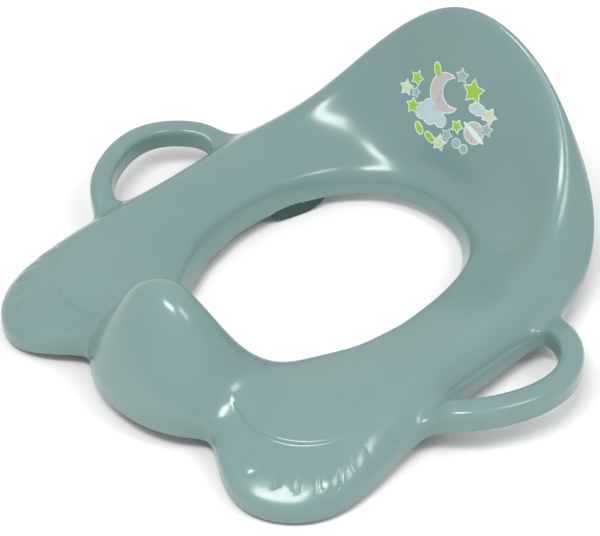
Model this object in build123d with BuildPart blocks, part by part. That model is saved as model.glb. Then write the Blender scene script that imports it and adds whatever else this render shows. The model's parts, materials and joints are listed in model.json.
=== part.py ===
from build123d import *
import os
from collections import namedtuple

# Child's toilet training seat: one moulded shell with integral handles, a decal and rubber grips.
# +X is the seated child's left, +Y the backrest, +Z up.  The origin is on the surface that the
# rubber grips stand on, in the middle of the object.  Millimetres.

# ---------------------------------------------------------------- driving dimensions
WALL = 3.0               # moulded wall thickness
BASE = 11.0              # height of the shell's lower edge above the grips' feet
SPARE = 3.0              # the outer form is made this much deeper, then cut off level
UNDERCUT = 9.0           # how far the hollow's cutters reach below the lower edge

HANDLE_HEM = 11.0        # lower edge of the handle above the shell's lower edge
HANDLE_HEIGHT = 27.0     # crest of the handle above the shell's lower edge
HANDLE_WIDTH = 16.5
HANDLE_ROUND = 7.5       # rounding along the handle's upper edges

TAB_DROP = 7.5           # moulded tab below the lower edge, inside each rubber grip
TAB_RISE = 4.0           # how far the tab is merged into the inner wall
TAB_SPAN = (0.22, 0.78)  # part of the grip's arc that the tab fills
GRIP_SPANS = {           # the sections that a grip follows, and how much of their arc
    "rear": (("side", "side_rear", "hip"), (0.02, 0.82)),
    "front": (("notch", "guard_foot", "guard_flank"), (0.0, 0.95)),
}
GRIP_SKIN = 2.4          # rubber each side of the tab
GRIP_ROUND = 8.0         # lower corners of a grip

DECAL_FILM = 0.25        # printed film on the backrest
DECAL_RADIUS = 36.0
DECAL_CENTRE = 72.0      # height of the decal's middle above the shell's lower edge
DECAL_FACE_Y = 148.0     # where the backrest's face stands at that height
DECAL_LEAN = 18.0        # degrees that the backrest leans there
DECAL_REACH = 14.0       # depth either side of the plane in which the film follows the curve

# One half of the shell as cross sections, from the front centre to the back centre.  Each runs
# from the opening's edge to the outer edge; the heights are above the shell's lower edge.
Section = namedtuple("Section", "name inner outer shoulder crest brow skirt hem")
SECTIONS = [
    Section("guard_front", (0, -109), (0, -176), 75, 76, 42, 17, 0),
    Section("guard_flank", (21, -106), (25, -172), 65, 69, 38, 16, 0),
    Section("guard_foot", (37, -95), (44, -160), 41, 49, 31, 14, 0),
    Section("notch", (48, -77), (57, -153), 23, 33, 21, 11, 0),
    Section("toe_root", (58, -58), (77, -165), 19, 27, 18, 10, 0),
    Section("toe_inner", (66, -41), (104, -177), 19, 26, 17, 8, 0),
    Section("toe_tip", (72, -25), (134, -169), 20, 26, 17, 7, 0),
    Section("toe_outer", (76, -10), (153, -141), 20, 26, 19, 8, 0),
    Section("ankle", (79, 7), (153, -101), 21, 27, 22, 9, 0),
    Section("side_front", (80, 23), (146, -50), 21, 28, 26, 10, 0),
    Section("side", (78, 42), (147, 15), 22, 28, 27, 10, 0),
    Section("side_rear", (73, 66), (147, 83), 22, 29, 28, 11, 0),
    Section("hip", (61, 90), (132, 137), 24, 36, 46, 25, 16),
    Section("wing", (43, 109), (94, 170), 27, 55, 87, 70, 63),
    Section("shoulder", (22, 119), (47, 178), 29, 72, 126, 107, 99),
    Section("crown", (0, 122), (0, 179), 30, 80, 142, 119, 107),
]
OVERRUN = 3              # sections past the middle at each end of a half
FLOOR_CUT = 600.0        # wider than the whole shell

# where the heights stand, as fractions of the way across a section
ACROSS = {"lip": 0.04, "shoulder": 0.20, "crest": 0.50, "brow": 0.82, "skirt": 0.97}
LIP_SHARE = 0.52         # the lip point's height as a share of the shoulder's

# middle of the handle in plan, from its front root to its rear root
HANDLE_PATH = [(139, -54), (162, -46), (182, -25), (194, 11), (186, 43), (163, 62), (139, 67)]
HANDLE_ROOTS = [(0.95, 0.25), (-1.0, 0.15)]  # directions in which it leaves and rejoins the shell


# ---------------------------------------------------------------- section helpers
def section_plane(section):
    """Upright plane through a section: x runs outwards, y runs up."""
    start = Vector(*section.inner, BASE)
    outwards = (Vector(*section.outer, BASE) - start).normalized()
    return Plane(origin=start, x_dir=outwards, z_dir=outwards.cross(Vector(0, 0, 1)))


def section_width(section):
    return (Vector(*section.outer, 0) - Vector(*section.inner, 0)).length


def upper_points(section):
    """Points of the upper surface in a section's plane, from the opening to the outer edge."""
    width = section_width(section)
    heights = {
        "lip": section.shoulder * LIP_SHARE,
        "shoulder": section.shoulder,
        "crest": section.crest,
        "brow": section.brow,
        "skirt": section.skirt,
    }
    middle = [Vector(ACROSS[key] * width, height) for key, height in heights.items()]
    return [Vector(0, -SPARE), *middle, Vector(width, section.hem - SPARE)]


def lower_points(section):
    """The same line moved one wall thickness into the hollow, with its ends run out below."""
    points = upper_points(section)
    inset = []
    for before, here, after in zip(points, points[1:], points[2:]):
        along = (after - before).normalized()
        inset.append(here + Vector(along.Y, -along.X) * WALL)
    first = Vector(WALL, -UNDERCUT)
    last = Vector(points[-1].X - WALL, section.hem - UNDERCUT)
    return [first, *inset, last]


def mirrored(section):
    """The matching section on the other side of the middle plane."""
    return section._replace(
        inner=(-section.inner[0], section.inner[1]),
        outer=(-section.outer[0], section.outer[1]),
    )


def half_ring():
    """All sections of one half, with some past each end so that the middle is level."""
    before = [mirrored(section) for section in SECTIONS[OVERRUN:0:-1]]
    after = [mirrored(section) for section in SECTIONS[-2 : -2 - OVERRUN : -1]]
    return [*before, *SECTIONS, *after]


def upright_plane(path):
    """Plane across the start of a level path, with its y axis straight up."""
    ahead = path % 0
    return Plane(origin=path @ 0, x_dir=Vector(0, 0, 1).cross(ahead), z_dir=ahead)


def wall_arc(names):
    """Arc along the middle of the opening's wall, through three neighbouring sections."""
    points = []
    for section in SECTIONS:
        if section.name in names:
            plane = section_plane(section)
            points.append(plane.origin + plane.x_dir * (WALL / 2))
    return Edge.make_three_point_arc(*points)


# ---------------------------------------------------------------- seat shell
with BuildPart() as outer_form:
    for section in half_ring():
        with BuildSketch(section_plane(section)):
            with BuildLine():
                upper = Spline(*upper_points(section))
                Line(upper @ 1, upper @ 0)
            make_face()
    loft()
    split(bisect_by=Plane.YZ, keep=Keep.TOP)

with BuildPart() as hollow:
    for section in half_ring():
        with BuildSketch(section_plane(section)):
            with BuildLine():
                under = Spline(*lower_points(section))
                Line(under @ 1, under @ 0)
            make_face()
    loft()

with BuildLine() as handle_path:
    Spline(*[(x, y, BASE) for x, y in HANDLE_PATH], tangents=HANDLE_ROOTS)

with BuildPart() as handle:
    with BuildSketch(upright_plane(handle_path.line)) as handle_profile:
        with Locations((0, HANDLE_HEM)):
            Rectangle(HANDLE_WIDTH, HANDLE_HEIGHT - HANDLE_HEM, align=(Align.CENTER, Align.MIN))
        fillet(handle_profile.vertices().group_by(Axis.Y)[-1], radius=HANDLE_ROUND)
    sweep(path=handle_path.line)

with BuildPart() as handle_channel:
    with BuildSketch(upright_plane(handle_path.line)) as channel_profile:
        with Locations((0, -UNDERCUT)):
            Rectangle(
                HANDLE_WIDTH - 2 * WALL,
                HANDLE_HEIGHT - WALL + UNDERCUT,
                align=(Align.CENTER, Align.MIN),
            )
        fillet(channel_profile.vertices().group_by(Axis.Y)[-1], radius=HANDLE_ROUND - WALL)
    sweep(path=handle_path.line)

with BuildPart() as tabs:
    for names, span in GRIP_SPANS.values():
        with BuildSketch(Plane.XY.offset(BASE - TAB_DROP)):
            SlotArc(wall_arc(names).trim(*span).trim(*TAB_SPAN), WALL)
        extrude(amount=TAB_DROP + TAB_RISE)

with BuildPart() as below_edge:
    with BuildSketch(Plane.XY.offset(BASE)):
        Rectangle(FLOOR_CUT, FLOOR_CUT)
    extrude(amount=-FLOOR_CUT / 4)

with BuildPart() as seat_shell:
    add(outer_form.part)
    add(below_edge.part, mode=Mode.SUBTRACT)
    add(handle.part)
    add(hollow.part, mode=Mode.SUBTRACT)
    add(handle_channel.part, mode=Mode.SUBTRACT)
    add(tabs.part)
    mirror(about=Plane.YZ)
seat_shell.part.label = "seat_shell"


# ---------------------------------------------------------------- rubber grips
def make_grip(names, span):
    """Rubber sleeve pushed up over one moulded tab, with its lower corners rounded."""
    whole_arc = wall_arc(names).trim(*span)
    middle = whole_arc @ 0.5
    along = whole_arc % 0.5
    length = (whole_arc @ 1 - whole_arc @ 0).length + WALL + 2 * GRIP_SKIN
    face_on = Plane(origin=(middle.X, middle.Y, 0), x_dir=along, z_dir=along.cross(Vector(0, 0, 1)))
    with BuildPart() as grip:
        with BuildSketch(Plane.XY):
            SlotArc(whole_arc.moved(Location((0, 0, -BASE))), WALL + 2 * GRIP_SKIN)
        extrude(amount=BASE)
        with BuildSketch(face_on) as front_view:
            Rectangle(length, BASE, align=(Align.CENTER, Align.MIN))
            fillet(front_view.vertices().group_by(Axis.Y)[0], radius=GRIP_ROUND)
        extrude(amount=length, both=True, mode=Mode.INTERSECT)
        add(tabs.part, mode=Mode.SUBTRACT)
    return grip.part


# ---------------------------------------------------------------- decal
decal_plane = Plane(
    origin=(0, DECAL_FACE_Y, BASE + DECAL_CENTRE),
    x_dir=(1, 0, 0),
    z_dir=Vector(0, -1, 0).rotate(Axis.X, -DECAL_LEAN),
)
with BuildPart() as backrest_decal:
    with BuildSketch(decal_plane):
        Circle(DECAL_RADIUS)
    extrude(amount=DECAL_REACH, both=True)
    add(seat_shell.part.moved(Location(decal_plane.z_dir * DECAL_FILM)), mode=Mode.INTERSECT)
    add(seat_shell.part, mode=Mode.SUBTRACT)
film = backrest_decal.part.solids().sort_by(SortBy.VOLUME)[-1]
film.label = "backrest_decal"

# ---------------------------------------------------------------- export
os.makedirs("parts", exist_ok=True)
export_step(seat_shell.part, "parts/seat_shell.step")
export_step(film, "parts/backrest_decal.step")
for place, (names, span) in GRIP_SPANS.items():
    left_grip = make_grip(names, span)
    for side, part in (("left", left_grip), ("right", left_grip.mirror(Plane.YZ))):
        part.label = f"grip_{place}_{side}"
        export_step(part, f"parts/{part.label}.step")
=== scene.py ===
import json
import math
from collections import namedtuple

import bmesh
import bpy
import numpy as np
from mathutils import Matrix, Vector
from mathutils.bvhtree import BVHTree
from mathutils.interpolate import poly_3d_calc


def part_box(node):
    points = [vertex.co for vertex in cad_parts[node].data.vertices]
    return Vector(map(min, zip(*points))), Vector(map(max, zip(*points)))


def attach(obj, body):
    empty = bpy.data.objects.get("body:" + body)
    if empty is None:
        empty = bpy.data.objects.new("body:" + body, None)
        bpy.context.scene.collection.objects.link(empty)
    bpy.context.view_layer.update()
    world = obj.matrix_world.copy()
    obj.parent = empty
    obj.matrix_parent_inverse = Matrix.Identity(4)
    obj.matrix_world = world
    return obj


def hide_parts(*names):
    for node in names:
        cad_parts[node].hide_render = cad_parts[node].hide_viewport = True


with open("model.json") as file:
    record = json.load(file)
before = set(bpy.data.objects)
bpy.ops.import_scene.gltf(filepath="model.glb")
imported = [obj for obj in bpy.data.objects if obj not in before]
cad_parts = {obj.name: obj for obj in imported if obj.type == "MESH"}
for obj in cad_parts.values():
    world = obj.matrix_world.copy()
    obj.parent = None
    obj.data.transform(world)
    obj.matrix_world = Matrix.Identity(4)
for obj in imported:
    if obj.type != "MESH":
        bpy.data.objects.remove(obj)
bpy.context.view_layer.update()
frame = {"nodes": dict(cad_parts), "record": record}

# The visual model of a child's toilet training seat.  +X is the seated child's left, +Y the
# backrest and +Z up, in metres.  Tables are in millimetres, with heights above the shell's hem.
MM = 0.001
MOUNTS = {mount["name"]: mount for mount in frame["record"]["mounts"]}
HEM = MOUNTS["toilet_seat_rest"]["pos_m"][2]   # the shell's lower edge rests on the toilet seat
WALL = 3.0 * MM

# ------------------------------------------------------------------ shell sections
# One half of the shell as control sections, from the front centre to the back centre.  Each
# runs from the opening's edge to the outer edge.  brow_at is where the brow stands, as a
# fraction of the way across; bowl is how soon the surface climbs from the shoulder to the crest,
# and lip how tight the edge of the opening is: 1 is crisp and -1 flows into the wall.
FIELDS = "name inner outer shoulder crest brow skirt hem brow_at bowl lip"
Station = namedtuple("Station", FIELDS)
STATIONS = [
    Station("guard_front", (0, -109), (0, -176), 82, 86, 47, 20, 2, 0.82, 0.62, 0.0),
    Station("guard_flank", (22, -108), (26, -173), 70, 76, 45, 20, 2, 0.84, 0.62, 0.0),
    Station("guard_foot", (38, -97), (47, -161), 35, 49, 35, 17, 1, 0.84, 0.62, 0.3),
    Station("notch", (50, -78), (57, -150), 17, 30, 25, 14, 0, 0.80, 0.62, 0.7),
    Station("toe_root", (59, -58), (76, -166), 17, 27, 20, 11, -2, 0.82, 0.62, 1.0),
    Station("toe_inner", (67, -42), (103, -179), 19, 28, 18, 6, -6, 0.80, 0.62, 1.0),
    Station("toe_tip", (73, -27), (131.5, -169.5), 20, 28, 18, 3, -8, 0.80, 0.62, 1.0),
    Station("toe_outer", (75, -13), (154.5, -143), 21, 28, 22, 5, -7, 0.80, 0.62, 1.0),
    Station("ankle", (78, -1), (154.5, -102), 21, 28, 28, 10, -4, 0.80, 0.62, 1.0),
    Station("front_root_a", (79, 9), (149, -60), 21, 28, 30, 16, 0, 0.79, 0.62, 1.0),
    Station("front_root_b", (79, 21), (147, -40), 21, 28, 31, 17, 0, 0.79, 0.62, 1.0),
    Station("side", (78, 37), (149, 8), 21, 28, 31, 14, 0, 0.79, 0.62, 1.0),
    Station("rear_root_a", (75, 54), (149, 53), 21, 28, 31, 16, 0, 0.80, 0.50, 1.0),
    Station("rear_root_b", (71, 68), (148, 76), 21, 29, 33, 16, 0, 0.79, 0.30, 0.9),
    Station("hip", (60, 91), (139, 141), 22, 35, 50, 18, 13, 0.64, 0.18, 0.4),
    Station("wing", (41, 111), (97, 176), 25, 55, 101, 68, 66, 0.83, 0.34, -0.4),
    Station("shoulder", (20, 120), (47, 180), 27, 71, 150, 108, 105, 0.90, 0.48, -0.8),
    Station("crown", (0, 122), (0, 176), 28, 77, 170, 120, 114, 0.91, 0.52, -0.8),
]
NAMES = [station.name for station in STATIONS]
SKIRT_ROW = 7            # rows from here to the hem are open where a handle joins

# the handle's middle in plan, from its front root to its rear root, and its rise at each point
HANDLE_PATH = [(159, -50), (177, -35), (194, -3), (196, 27), (182, 51), (163, 63)]
HANDLE_LIFT = [1, 2, 3, 2.5, 0, -1.5]
HANDLE_WIDTH = 16.5
HANDLE_HEM = 11.0        # heights of its lower edge and its top before that rise
HANDLE_TOP = 27.0

SHELL_LEVELS = 3         # subdivisions of the shell
GUIDE_LEVELS = 5         # and of the finer copy that its relief is laid on
RIM_ROUND = 0.9 * MM     # rounding of the wall's edges
RIM_ANGLE = math.radians(50)


def section_rows(station):
    """Control points of one section, from the opening's hem to the outer hem, in metres."""
    inner = Vector(station.inner)
    across = Vector(station.outer) - inner
    rise = station.crest - station.shoulder
    tight = station.lip
    drop = station.skirt - station.hem
    profile = [
        (0.0, 0.0),
        (0.02 + 0.01 * tight, (0.42 + 0.08 * tight) * station.shoulder),
        (0.07 - 0.005 * tight, (0.77 + 0.13 * tight) * station.shoulder),
        (0.17 - 0.06 * tight, (0.98 + 0.04 * tight) * station.shoulder),
        (0.32, station.shoulder + station.bowl * rise),
        (0.53, station.crest),
        (station.brow_at, station.brow),
        (1.0, station.skirt),
        (1.0, station.hem + 0.45 * drop),
        (1.0, station.hem),
    ]
    rows = []
    for share, height in profile:
        plan = inner + across * share
        rows.append(Vector((plan.x * MM, plan.y * MM, HEM + height * MM)))
    return rows


def mirrored(points):
    return [Vector((-point.x, point.y, point.z)) for point in points]


def handle_rings():
    """Control points of the right handle's open section, one ring for each path point."""
    plan = [Vector(point) for point in HANDLE_PATH]
    middle_height = (HANDLE_HEM + HANDLE_TOP) / 2
    heights = [HANDLE_HEM, middle_height, HANDLE_TOP, HANDLE_TOP, middle_height, HANDLE_HEM]
    sides = [0.5, 0.5, 0.5, -0.5, -0.5, -0.5]
    rings = []
    for index, here in enumerate(plan):
        before = plan[max(index - 1, 0)]
        after = plan[min(index + 1, len(plan) - 1)]
        along = (after - before).normalized()
        outward = Vector((along.y, -along.x))
        ring = []
        for side, height in zip(sides, heights):
            spot = here + outward * HANDLE_WIDTH * side
            level = height + HANDLE_LIFT[index]
            ring.append(Vector((spot.x * MM, spot.y * MM, HEM + level * MM)))
        rings.append(ring)
    return rings


def shell_cage():
    """The shell's control mesh: a ring of sections with a handle grown out of each side."""
    mesh = bpy.data.meshes.new("seat_shell_cage")
    cage = bmesh.new()
    half = [section_rows(station) for station in STATIONS]
    other_half = [mirrored(rows) for rows in half[1:-1]]
    columns = half + other_half[::-1]
    grid = [[cage.verts.new(point) for point in rows] for rows in columns]
    count = len(columns)
    open_columns = set()
    for start, end in (("front_root_a", "front_root_b"), ("rear_root_a", "rear_root_b")):
        first = NAMES.index(start)
        open_columns.add(first)
        open_columns.add(count - NAMES.index(end))
    for index in range(count):
        here = grid[index]
        after = grid[(index + 1) % count]
        for row in range(len(here) - 1):
            if index in open_columns and row >= SKIRT_ROW:
                continue
            cage.faces.new((here[row], here[row + 1], after[row + 1], after[row]))
    for side in (1, -1):
        place = [NAMES.index(name) for name in ("front_root_a", "front_root_b")]
        place += [NAMES.index(name) for name in ("rear_root_a", "rear_root_b")]
        if side < 0:
            place = [count - number for number in place]
        front_a, front_b, rear_a, rear_b = [grid[number][SKIRT_ROW:] for number in place]
        first = [*front_a[::-1], *front_b]
        last = [*rear_b[::-1], *rear_a]
        rings = handle_rings()
        if side < 0:
            rings = [mirrored(ring) for ring in rings]
        rings = [[cage.verts.new(point) for point in ring] for ring in rings]
        rings = [first, *rings, last]
        for one, two in zip(rings, rings[1:]):
            for row in range(len(one) - 1):
                cage.faces.new((one[row], one[row + 1], two[row + 1], two[row]))
    bmesh.ops.recalc_face_normals(cage, faces=cage.faces)
    top = max(cage.faces, key=lambda face: abs(face.normal.z) * (face.calc_area()))
    if top.normal.z < 0:
        bmesh.ops.reverse_faces(cage, faces=cage.faces)
    cage.to_mesh(mesh)
    cage.free()
    return mesh


def add_object(name, mesh):
    obj = bpy.data.objects.new(name, mesh)
    bpy.context.scene.collection.objects.link(obj)
    return obj


def bake_modifiers(obj):
    """Replaces the object's mesh by the result of its modifiers."""
    bpy.context.view_layer.update()
    graph = bpy.context.evaluated_depsgraph_get()
    result = bpy.data.meshes.new_from_object(obj.evaluated_get(graph))
    obj.modifiers.clear()
    old = obj.data
    obj.data = result
    bpy.data.meshes.remove(old)


def shade_smooth(mesh):
    mesh.polygons.foreach_set("use_smooth", [True] * len(mesh.polygons))


def subdivided(obj, levels):
    modifier = obj.modifiers.new("surface", "SUBSURF")
    modifier.levels = levels
    modifier.render_levels = levels
    modifier.boundary_smooth = "ALL"
    bake_modifiers(obj)


shell = add_object("seat_shell_moulded", shell_cage())
guide = add_object("guide_surface", shell.data.copy())
subdivided(shell, SHELL_LEVELS)
subdivided(guide, GUIDE_LEVELS)
guide_tree = BVHTree.FromPolygons(
    [vertex.co for vertex in guide.data.vertices],
    [tuple(face.vertices) for face in guide.data.polygons],
)
guide_points = [vertex.co.copy() for vertex in guide.data.vertices]
guide_normals = [vertex.normal.copy() for vertex in guide.data.vertices]
guide_faces = [tuple(face.vertices) for face in guide.data.polygons]
bpy.data.objects.remove(guide)


def guide_spot(point):
    """Nearest place on the guide surface, with its smooth normal."""
    place, _, number, _ = guide_tree.find_nearest(point)
    corners = guide_faces[number]
    shares = poly_3d_calc([guide_points[corner] for corner in corners], place)
    normal = Vector((0.0, 0.0, 0.0))
    for share, corner in zip(shares, corners):
        normal += guide_normals[corner] * share
    return place, normal.normalized()


wall = shell.modifiers.new("wall", "SOLIDIFY")
wall.thickness = WALL
wall.offset = -1.0
wall.use_even_offset = True
wall.use_quality_normals = True
wall.use_rim = True
edge = shell.modifiers.new("edge", "BEVEL")
edge.limit_method = "ANGLE"
edge.angle_limit = RIM_ANGLE
edge.width = RIM_ROUND
edge.segments = 2
bake_modifiers(shell)

# ------------------------------------------------------------------ paw relief on the front lobes
# Each lobe is moulded as a plain paw: a low step round its pad and four shallow toe outlines.
# Plan positions are for the +X lobe; the other lobe mirrors them.
PAD_CENTRE = Vector((83, -92))
PAD_RADIUS = 47.0
PAD_STEP = 2.0           # drop just outside the pad's edge
PAD_EDGE = 3.6           # width over which it drops
PAD_RECOVER = 24.0       # width over which the surface comes back
PAD_FROM = -126          # degrees, where the step starts and ends round the centre
PAD_TO = 0
PAD_FADE = 22
TOE_RADIUS = 6.8
TOE_LENGTH = 17.0
TOE_GROOVE = 0.6         # depth of the outline
TOE_GROOVE_WIDTH = 1.6
TOE_DOME = 0.7           # rise of the pad inside the outline
TOES = [                 # centre of the rounded end, the way it points in degrees, and its depth
    ((97.5, -158.5), -80, 0.6),
    ((124.5, -155.0), -52, 1.0),
    ((143.0, -136.5), -44, 1.0),
    ((147.5, -113.0), -20, 0.5),
]
RELIEF_FLOOR = HEM + 9.0 * MM   # the relief stays above this height
RELIEF_BACK = -60.0 * MM        # and in front of this line across the seat
REFINED_UP = 0.12               # least upward part of the normal of a face that is refined
MOVED_UP = 0.10                 # and of a vertex that is moved
GUIDE_NEAR = 0.6 * MM           # a vertex further from the guide is not on the outer skin
FINE_GAP = 3.0                  # distances from a toe's outline for two divisions and for one
COARSE_GAP = 6.0
PAD_GAP = (-3.0, 6.0)           # distances beyond the pad's edge for one division
SLOPE_STEP = 0.15


def smooth(value):
    value = min(max(value, 0.0), 1.0)
    return value * value * (3.0 - 2.0 * value)


def toe_place(spot, centre, angle):
    """Distance from the toe's middle line, and how far out along it, for a plan point."""
    ahead = Vector((math.cos(math.radians(angle)), math.sin(math.radians(angle))))
    offset = spot - Vector(centre)
    along = offset.dot(ahead)
    nearest = ahead * min(max(along, -TOE_LENGTH), 0.0)
    return (offset - nearest).length, along


def pad_share(spot):
    """How strongly the pad's step shows at a plan point, from 0 to 1."""
    offset = spot - PAD_CENTRE
    angle = math.degrees(math.atan2(offset.y, offset.x))
    start = smooth((angle - PAD_FROM) / PAD_FADE)
    end = smooth((PAD_TO - angle) / (PAD_FADE * 2))
    return start * end


def relief(spot):
    """Height of the paw relief at a plan point of the +X lobe, in millimetres."""
    height = 0.0
    beyond = (spot - PAD_CENTRE).length - PAD_RADIUS
    if beyond > 0:
        drop = smooth(beyond / PAD_EDGE) * (1.0 - smooth((beyond - PAD_EDGE) / PAD_RECOVER))
        height -= PAD_STEP * drop * pad_share(spot)
    for centre, angle, depth in TOES:
        reach, along = toe_place(spot, centre, angle)
        if reach > TOE_RADIUS * 2:
            continue
        fade = smooth(1.0 + along / TOE_LENGTH)
        groove = math.exp(-(((reach - TOE_RADIUS) / TOE_GROOVE_WIDTH) ** 2))
        dome = 1.0 - smooth(reach / TOE_RADIUS)
        height += (TOE_DOME * dome - TOE_GROOVE * groove) * fade * depth
    return height


def wanted_level(spot):
    """How many times the mesh is divided at a plan point of the +X lobe."""
    beyond = (spot - PAD_CENTRE).length - PAD_RADIUS
    near_pad = PAD_GAP[0] < beyond < PAD_GAP[1] and pad_share(spot) > 0.0
    toe_gap = math.inf
    for centre, angle, _ in TOES:
        reach, along = toe_place(spot, centre, angle)
        if along > -TOE_LENGTH:
            toe_gap = min(toe_gap, abs(reach - TOE_RADIUS))
    if toe_gap < FINE_GAP:
        return 2
    if near_pad or toe_gap < COARSE_GAP:
        return 1
    return 0


def lobe_spot(point):
    """Plan point of the +X lobe, in millimetres, that stands for a point of either lobe."""
    return Vector((abs(point.x) / MM, point.y / MM))


def relief_slope(spot):
    """Slope of the relief at a plan point, along x and y of the +X lobe."""
    step_x = Vector((SLOPE_STEP, 0))
    step_y = Vector((0, SLOPE_STEP))
    across = relief(spot + step_x) - relief(spot - step_x)
    ahead = relief(spot + step_y) - relief(spot - step_y)
    return across / (2 * SLOPE_STEP), ahead / (2 * SLOPE_STEP)


def carve_relief(obj):
    """Refines the lobes' outer skin, lays it on the guide surface and presses the relief in.

    The shading normals follow the relief's own slope, so the refined patches join smoothly.
    """
    skin = bmesh.new()
    skin.from_mesh(obj.data)
    skin.normal_update()
    for level in (1, 2):
        edges = set()
        for face in skin.faces:
            middle = face.calc_center_median()
            if face.normal.z < REFINED_UP:
                continue
            if middle.z < RELIEF_FLOOR or middle.y > RELIEF_BACK:
                continue
            if wanted_level(lobe_spot(middle)) >= level:
                edges.update(face.edges)
        bmesh.ops.subdivide_edges(skin, edges=list(edges), cuts=1, use_grid_fill=True)
        skin.normal_update()
    normals = []
    for vertex in skin.verts:
        point = vertex.co
        normals.append(Vector((0.0, 0.0, 0.0)))
        if vertex.normal.z < MOVED_UP or point.z < RELIEF_FLOOR or point.y > RELIEF_BACK:
            continue
        place, normal = guide_spot(point)
        if (place - point).length > GUIDE_NEAR:
            continue
        if normal.dot(vertex.normal) < 0:
            normal = -normal
        spot = lobe_spot(place)
        across, ahead = relief_slope(spot)
        slope = Vector((across if place.x > 0 else -across, ahead, 0.0))
        vertex.co = place + normal * relief(spot) * MM
        normals[-1] = (normal - (slope - normal * slope.dot(normal))).normalized()
    skin.to_mesh(obj.data)
    skin.free()
    shade_smooth(obj.data)
    obj.data.normals_split_custom_set_from_vertices(normals)


carve_relief(shell)
shell_tree = BVHTree.FromPolygons(
    [vertex.co for vertex in shell.data.vertices],
    [tuple(face.vertices) for face in shell.data.polygons],
)


# ------------------------------------------------------------------ materials
def new_material(name):
    material = bpy.data.materials.new(name)
    material.use_nodes = True
    shader = material.node_tree.nodes["Principled BSDF"]
    return material, material.node_tree, shader


def noise_node(tree, scale, detail=2.0, roughness=0.5):
    position = tree.nodes.new("ShaderNodeTexCoord")
    texture = tree.nodes.new("ShaderNodeTexNoise")
    texture.inputs["Scale"].default_value = scale
    texture.inputs["Detail"].default_value = detail
    texture.inputs["Roughness"].default_value = roughness
    tree.links.new(position.outputs["Object"], texture.inputs["Vector"])
    return texture


def vary_color(tree, shader, texture, low, high):
    ramp = tree.nodes.new("ShaderNodeValToRGB")
    ramp.color_ramp.elements[0].position = 0.3
    ramp.color_ramp.elements[1].position = 0.7
    ramp.color_ramp.elements[0].color = (*low, 1.0)
    ramp.color_ramp.elements[1].color = (*high, 1.0)
    tree.links.new(texture.outputs["Fac"], ramp.inputs["Fac"])
    tree.links.new(ramp.outputs["Color"], shader.inputs["Base Color"])


def vary_roughness(tree, shader, texture, low, high):
    span = tree.nodes.new("ShaderNodeMapRange")
    span.inputs["From Min"].default_value = 0.3
    span.inputs["From Max"].default_value = 0.7
    span.inputs["To Min"].default_value = low
    span.inputs["To Max"].default_value = high
    tree.links.new(texture.outputs["Fac"], span.inputs["Value"])
    tree.links.new(span.outputs["Result"], shader.inputs["Roughness"])


def add_bump(tree, shader, texture, strength, depth):
    bump = tree.nodes.new("ShaderNodeBump")
    bump.inputs["Strength"].default_value = strength
    bump.inputs["Distance"].default_value = depth
    tree.links.new(texture.outputs["Fac"], bump.inputs["Height"])
    tree.links.new(bump.outputs["Normal"], shader.inputs["Normal"])


def plastic_material():
    """Glossy moulded polypropylene with faint flow marks and a slight ripple."""
    material, tree, shader = new_material("sage_polypropylene")
    clouds = noise_node(tree, 14.0, 3.0)
    handling = noise_node(tree, 60.0, 4.0, 0.6)
    ripple = noise_node(tree, 90.0, 2.0)
    vary_color(tree, shader, clouds, (0.148, 0.242, 0.235), (0.161, 0.259, 0.252))
    vary_roughness(tree, shader, handling, 0.20, 0.28)
    add_bump(tree, shader, ripple, 0.25, 0.0002)
    shader.inputs["Specular IOR Level"].default_value = 0.5
    shader.inputs["Coat Weight"].default_value = 0.25
    shader.inputs["Coat Roughness"].default_value = 0.12
    return material


plastic = plastic_material()
shell.data.materials.clear()
shell.data.materials.append(plastic)
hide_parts("seat_shell")
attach(shell, "root")

# ------------------------------------------------------------------ rubber grips
GRIP_HALF = 3.7          # half thickness of the rubber, across the wall
GRIP_RIB = 0.35          # depth of the grooves between the ribs
GRIP_RIB_PITCH = 4.2
GRIP_LAP = 1.6           # how far the rubber laps up the wall above the shell's hem
GRIP_STEPS = 72          # rings along a grip
GRIP_ROUND = 20          # points in a ring
GRIP_SQUARE = 0.45       # exponent that makes a ring squarer than an ellipse
GRIP_ARCH = 2.2          # exponent of the lower edge's arch
GRIP_SLICES = 7          # slices of the CAD grip that its middle line is fitted to


def rubber_material():
    """Dark matt thermoplastic rubber with a fine grain."""
    material, tree, shader = new_material("dark_rubber")
    grain = noise_node(tree, 900.0, 3.0, 0.6)
    clouds = noise_node(tree, 60.0, 3.0)
    vary_color(tree, shader, clouds, (0.010, 0.036, 0.033), (0.018, 0.052, 0.049))
    vary_roughness(tree, shader, clouds, 0.42, 0.58)
    add_bump(tree, shader, grain, 0.5, 0.0001)
    return material


def middle_line(node):
    """Plan curve x(y) through the middle of a CAD grip, and its two ends."""
    points = [vertex.co for vertex in node.data.vertices]
    low_y = min(point.y for point in points)
    high_y = max(point.y for point in points)
    ys = []
    xs = []
    for index in range(GRIP_SLICES):
        start = low_y + (high_y - low_y) * index / GRIP_SLICES
        end = low_y + (high_y - low_y) * (index + 1) / GRIP_SLICES
        band = [point.x for point in points if start <= point.y <= end]
        if band:
            ys.append((start + end) / 2)
            xs.append((min(band) + max(band)) / 2)
    return np.polyfit(ys, xs, 2), low_y, high_y


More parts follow.
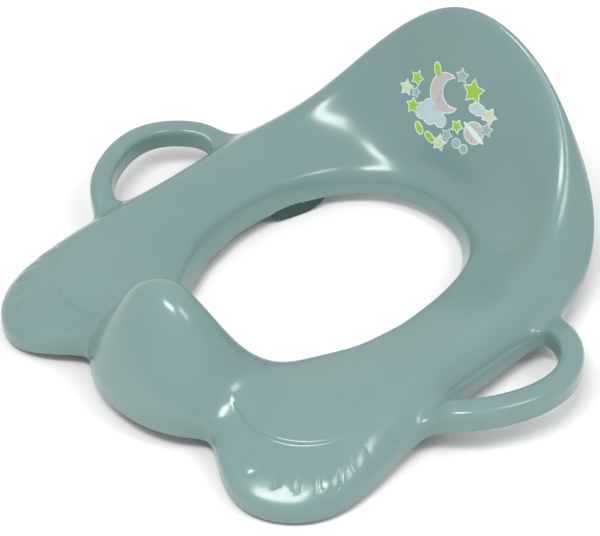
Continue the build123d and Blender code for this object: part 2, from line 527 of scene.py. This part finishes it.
def grip_mesh(name, node):
    """A ribbed rubber sleeve under the opening's wall, with a rounded lower edge."""
    curve, low_y, high_y = middle_line(node)
    slope = np.polyder(curve)
    margin = GRIP_HALF * MM * 0.5
    grip = bmesh.new()
    rings = []
    length = 0.0
    before = None
    for step in range(GRIP_STEPS + 1):
        share = step / GRIP_STEPS
        y = low_y + margin + (high_y - low_y - 2 * margin) * share
        here = Vector((float(np.polyval(curve, y)), y))
        if before is not None:
            length += (here - before).length
        before = here
        along = Vector((float(np.polyval(slope, y)), 1.0)).normalized()
        across = Vector((along.y, -along.x))
        round_end = max(1.0 - abs(2 * share - 1) ** GRIP_ARCH, 0.0) ** 0.5
        bottom = HEM * (1.0 - round_end)
        top = HEM + GRIP_LAP * MM * (0.25 + 0.75 * round_end)
        rib = 0.5 + 0.5 * math.cos(2 * math.pi * length / (GRIP_RIB_PITCH * MM))
        half = (GRIP_HALF - GRIP_RIB * (1.0 - rib ** 3)) * MM * (0.55 + 0.45 * round_end)
        centre = (top + bottom) / 2
        tall = (top - bottom) / 2
        ring = []
        for turn in range(GRIP_ROUND):
            angle = 2 * math.pi * turn / GRIP_ROUND
            flat = math.copysign(abs(math.cos(angle)) ** GRIP_SQUARE, math.cos(angle))
            rise = math.copysign(abs(math.sin(angle)) ** GRIP_SQUARE, math.sin(angle))
            spot = here + across * half * flat
            ring.append(grip.verts.new((spot.x, spot.y, centre + tall * rise)))
        rings.append(ring)
    for one, two in zip(rings, rings[1:]):
        for turn in range(GRIP_ROUND):
            after = (turn + 1) % GRIP_ROUND
            grip.faces.new((one[turn], one[after], two[after], two[turn]))
    grip.faces.new(rings[0])
    grip.faces.new(rings[-1][::-1])
    bmesh.ops.recalc_face_normals(grip, faces=grip.faces)
    mesh = bpy.data.meshes.new(name)
    grip.to_mesh(mesh)
    grip.free()
    shade_smooth(mesh)
    return mesh


rubber = rubber_material()
for corner in ("front_left", "front_right", "rear_left", "rear_right"):
    node_name = "grip_" + corner
    piece_name = "rubber_" + node_name
    piece = add_object(piece_name, grip_mesh(piece_name, frame["nodes"][node_name]))
    piece.data.materials.append(rubber)
    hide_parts(node_name)
    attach(piece, "root")

# ------------------------------------------------------------------ printed decal
# A night-sky print of stars, a crescent moon, clouds and a ringed planet.  u runs to +X and v up
# the backrest, in millimetres from the print's middle.
PRINT_LEAN = math.radians(20)
PRINT_SHIFT = -4.0       # from the middle of the CAD film to the print's middle, along X
PRINT_STEP = 2.6         # longest edge of the print's mesh
PRINT_SUBDIVISIONS = 4   # most rounds of division that an ink shape gets
BORDER = 0.9             # width of the pale line round a shape
LAYER_LOW = 0.10         # heights of the ink layers above the backrest
LAYER_HIGH = 0.17
LAYER_TOP = 0.25
FILM = 0.10              # thickness of the ink
RAY_START = 60 * MM      # where a ray towards the backrest starts, and how far it reaches
RAY_REACH = 120 * MM


def star(u, v, radius, turn=0.0, depth=0.52):
    points = []
    for index in range(10):
        reach = radius if index % 2 == 0 else radius * depth
        angle = math.radians(90 + turn + 36 * index)
        points.append(Vector((u + reach * math.cos(angle), v + reach * math.sin(angle))))
    return points


def ellipse(u, v, width, height, turn=0.0, count=36):
    points = []
    lean = math.radians(turn)
    for index in range(count):
        angle = 2 * math.pi * index / count
        across = width / 2 * math.cos(angle)
        up = height / 2 * math.sin(angle)
        points.append(Vector((u + across * math.cos(lean) - up * math.sin(lean),
                              v + across * math.sin(lean) + up * math.cos(lean))))
    return points


def crescent(u, v, radius, bite, offset, turn, count=28):
    """A disc with a smaller disc cut out of the side that turn points to."""
    cut = (radius ** 2 - bite ** 2 + offset ** 2) / (2 * offset)
    outer = math.acos(cut / radius)
    inner = math.atan2(radius * math.sin(outer), cut - offset)
    points = []
    for index in range(count + 1):
        angle = outer + (2 * math.pi - 2 * outer) * index / count
        points.append(Vector((radius * math.cos(angle), radius * math.sin(angle))))
    for index in range(1, count):
        angle = -inner - (2 * math.pi - 2 * inner) * index / count
        points.append(Vector((offset + bite * math.cos(angle), bite * math.sin(angle))))
    spin = math.radians(turn)
    turned = []
    for point in points:
        turned.append(Vector((u + point.x * math.cos(spin) - point.y * math.sin(spin),
                              v + point.x * math.sin(spin) + point.y * math.cos(spin))))
    return turned


def cloud(u, v, size, count=72):
    """The outline of overlapping discs in a row, seen from their middle."""
    discs = [(-0.62, -0.10, 0.42), (-0.18, 0.22, 0.50), (0.34, 0.12, 0.46), (0.74, -0.14, 0.34)]
    discs += [(0.0, -0.16, 0.44)]
    points = []
    for index in range(count):
        angle = 2 * math.pi * index / count
        ray = Vector((math.cos(angle), math.sin(angle)))
        reach = 0.05
        for across, up, radius in discs:
            along = across * ray.x + up * ray.y
            inside = radius ** 2 - (across ** 2 + up ** 2 - along ** 2)
            if inside > 0:
                reach = max(reach, along + math.sqrt(inside))
        points.append(Vector((u + ray.x * reach * size, v + ray.y * reach * size)))
    return points


def grown(points, amount):
    """The same outline moved outwards."""
    area = 0.0
    for one, two in zip(points, points[1:] + points[:1]):
        area += one.x * two.y - two.x * one.y
    way = 1.0 if area > 0 else -1.0
    result = []
    count = len(points)
    for index, here in enumerate(points):
        before = (here - points[index - 1]).normalized()
        after = (points[(index + 1) % count] - here).normalized()
        first = Vector((before.y, -before.x)) * way
        second = Vector((after.y, -after.x)) * way
        both = first + second
        both = both / max(both.length_squared / 2, 0.6)
        result.append(here + both * amount)
    return result


film_low, film_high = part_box("backrest_decal")
PRINT_ORIGIN = (film_low + film_high) / 2 + Vector((PRINT_SHIFT * MM, 0.0, 0.0))
PRINT_UP = Vector((0.0, math.sin(PRINT_LEAN), math.cos(PRINT_LEAN)))
PRINT_INTO = Vector((0.0, math.cos(PRINT_LEAN), -math.sin(PRINT_LEAN)))


def printed(name, outlines, layer, material):
    """Thin ink shapes that follow the backrest's surface."""
    ink = bmesh.new()
    for outline in outlines:
        ink.faces.new([ink.verts.new((point.x, point.y, 0.0)) for point in outline])
    ink.normal_update()
    bmesh.ops.triangulate(ink, faces=ink.faces[:])
    for _ in range(PRINT_SUBDIVISIONS):
        long_edges = [edge for edge in ink.edges if edge.calc_length() > PRINT_STEP]
        if not long_edges:
            break
        bmesh.ops.subdivide_edges(ink, edges=long_edges, cuts=1)
        ink.normal_update()
        bmesh.ops.triangulate(ink, faces=ink.faces[:])
    for vertex in ink.verts:
        flat = PRINT_ORIGIN + Vector((vertex.co.x * MM, 0, 0)) + PRINT_UP * vertex.co.y * MM
        start = flat - PRINT_INTO * RAY_START
        place, normal, _, _ = shell_tree.ray_cast(start, PRINT_INTO, RAY_REACH)
        if place is None:
            raise RuntimeError("the print reaches past the backrest")
        if normal.dot(PRINT_INTO) > 0:
            normal = -normal
        vertex.co = place + normal * layer * MM
    bmesh.ops.recalc_face_normals(ink, faces=ink.faces)
    facing = sum(face.normal.dot(PRINT_INTO) for face in ink.faces)
    if facing > 0:
        bmesh.ops.reverse_faces(ink, faces=ink.faces)
    mesh = bpy.data.meshes.new(name)
    ink.to_mesh(mesh)
    ink.free()
    piece = add_object(name, mesh)
    film = piece.modifiers.new("film", "SOLIDIFY")
    film.thickness = FILM * MM
    film.offset = 1.0
    bake_modifiers(piece)
    piece.data.materials.append(material)
    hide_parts("backrest_decal")
    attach(piece, "root")


def ink_material(name, low, high):
    """Printed ink under a glossy varnish, with a faint unevenness."""
    material, tree, shader = new_material(name)
    grain = noise_node(tree, 260.0, 4.0, 0.6)
    vary_color(tree, shader, grain, low, high)
    vary_roughness(tree, shader, grain, 0.24, 0.36)
    shader.inputs["Coat Weight"].default_value = 0.25
    shader.inputs["Coat Roughness"].default_value = 0.12
    return material


lime_shapes = [
    star(14, 20, 8.6, 8), star(-36, 10, 5.2, -6), star(-33, -10, 5.4, 14), star(8.5, -9, 4.6, -10),
    ellipse(-22, -23, 9.0, 4.6, -38), ellipse(-11, -25.5, 9.5, 4.4, -22),
    ellipse(-20, 23, 5.0, 10.0, 28),
]
cream_shapes = [star(-43, 0, 5.4, 10), star(31, 8, 5.8, -12), star(-2, -26, 5.8, 6)]
open_shapes = [
    star(-34, 0, 3.8, 0), star(2, 27, 5.2, 12), star(32, -2, 4.8, 8), star(2.5, -18, 4.6, -8),
    ellipse(12, -20.5, 6.4, 6.4), ellipse(19, -22, 6.0, 6.0),
]
moon_shapes = [crescent(-8, 10, 14.0, 11.0, 7.5, 20)]
cloud_shapes = [cloud(-16, -9, 13.0), cloud(21, 9, 6.4)]
planet_shapes = [ellipse(23, -8, 15.0, 15.0)]
ring_shapes = [ellipse(23, -8, 22.0, 4.4, -24)]
bordered = lime_shapes + cream_shapes + moon_shapes + cloud_shapes + planet_shapes

white_ink = ink_material("ink_white", (0.50, 0.62, 0.60), (0.60, 0.72, 0.69))
lime_ink = ink_material("ink_lime", (0.235, 0.42, 0.014), (0.30, 0.50, 0.022))
cream_ink = ink_material("ink_cream", (0.46, 0.53, 0.33), (0.54, 0.60, 0.40))
moon_ink = ink_material("ink_rose_grey", (0.40, 0.375, 0.37), (0.47, 0.43, 0.42))
cloud_ink = ink_material("ink_mist", (0.38, 0.47, 0.50), (0.45, 0.54, 0.57))
open_ink = ink_material("ink_pale_sage", (0.24, 0.34, 0.33), (0.27, 0.38, 0.36))
printed("print_borders", [grown(points, BORDER) for points in bordered], LAYER_LOW, white_ink)
printed("print_open_borders", [grown(points, BORDER * 0.7) for points in open_shapes],
        LAYER_LOW, white_ink)
printed("print_open_stars", open_shapes, LAYER_HIGH, open_ink)
printed("print_lime", lime_shapes, LAYER_HIGH, lime_ink)
printed("print_cream", cream_shapes, LAYER_HIGH, cream_ink)
printed("print_moon", moon_shapes, LAYER_HIGH, moon_ink)
printed("print_clouds", cloud_shapes, LAYER_HIGH, cloud_ink)
printed("print_planet", planet_shapes, LAYER_HIGH, moon_ink)
printed("print_ring", ring_shapes, LAYER_TOP, white_ink)


# ------------------------------------------------------------------ stage
FLOOR_HALF = 6.0
LIGHT_DISTANCE = 1.6
LIGHT_TARGET = Vector((0.0, 0.0, 0.03))
WORLD_STRENGTH = 0.78


def stage_floor():
    size = FLOOR_HALF
    mesh = bpy.data.meshes.new("studio_floor")
    corners = [(-size, -size, 0), (size, -size, 0), (size, size, 0), (-size, size, 0)]
    mesh.from_pydata(corners, [], [(0, 1, 2, 3)])
    floor = add_object("studio_floor", mesh)
    material, tree, shader = new_material("pale_floor")
    vary_color(tree, shader, noise_node(tree, 3.0), (0.86, 0.86, 0.86), (0.88, 0.88, 0.88))
    shader.inputs["Roughness"].default_value = 0.9
    shader.inputs["Specular IOR Level"].default_value = 0.1
    mesh.materials.append(material)


stage_floor()


def look_along(obj, target):
    direction = target - obj.location
    obj.rotation_euler = direction.to_track_quat("-Z", "Y").to_euler()


def softbox(name, direction, size, power):
    light = bpy.data.lights.new(name, "AREA")
    light.shape = "RECTANGLE"
    light.size, light.size_y = size
    light.energy = power
    lamp = add_object(name, light)
    lamp.location = LIGHT_TARGET + Vector(direction).normalized() * LIGHT_DISTANCE
    look_along(lamp, LIGHT_TARGET)


softbox("front_softbox", (0.16, -0.46, 0.87), (0.75, 0.36), 14.0)
softbox("right_softbox", (0.59, 0.12, 0.80), (0.40, 0.55), 5.0)

world = bpy.data.worlds.new("studio_white")
world.use_nodes = True
world.node_tree.nodes["Background"].inputs["Color"].default_value = (1.0, 1.0, 1.0, 1.0)
world.node_tree.nodes["Background"].inputs["Strength"].default_value = WORLD_STRENGTH
bpy.context.scene.world = world
bpy.context.scene.view_settings.view_transform = "Standard"

# ------------------------------------------------------------------ camera
AZIMUTH = math.radians(43.5)
ELEVATION = math.radians(38.9)
DISTANCE = 1.161
TARGET = Vector((0.0021, -0.0142, 0.0373))
camera_data = bpy.data.cameras.new("catalogue_camera")
camera_data.lens = 103.7
camera_data.sensor_width = 36.0
camera_data.clip_end = 50.0
camera = add_object("catalogue_camera", camera_data)
level = math.cos(ELEVATION)
backward = Vector((math.sin(AZIMUTH) * level, -math.cos(AZIMUTH) * level, math.sin(ELEVATION)))
camera.location = TARGET + backward * DISTANCE
look_along(camera, TARGET)
bpy.context.scene.camera = camera
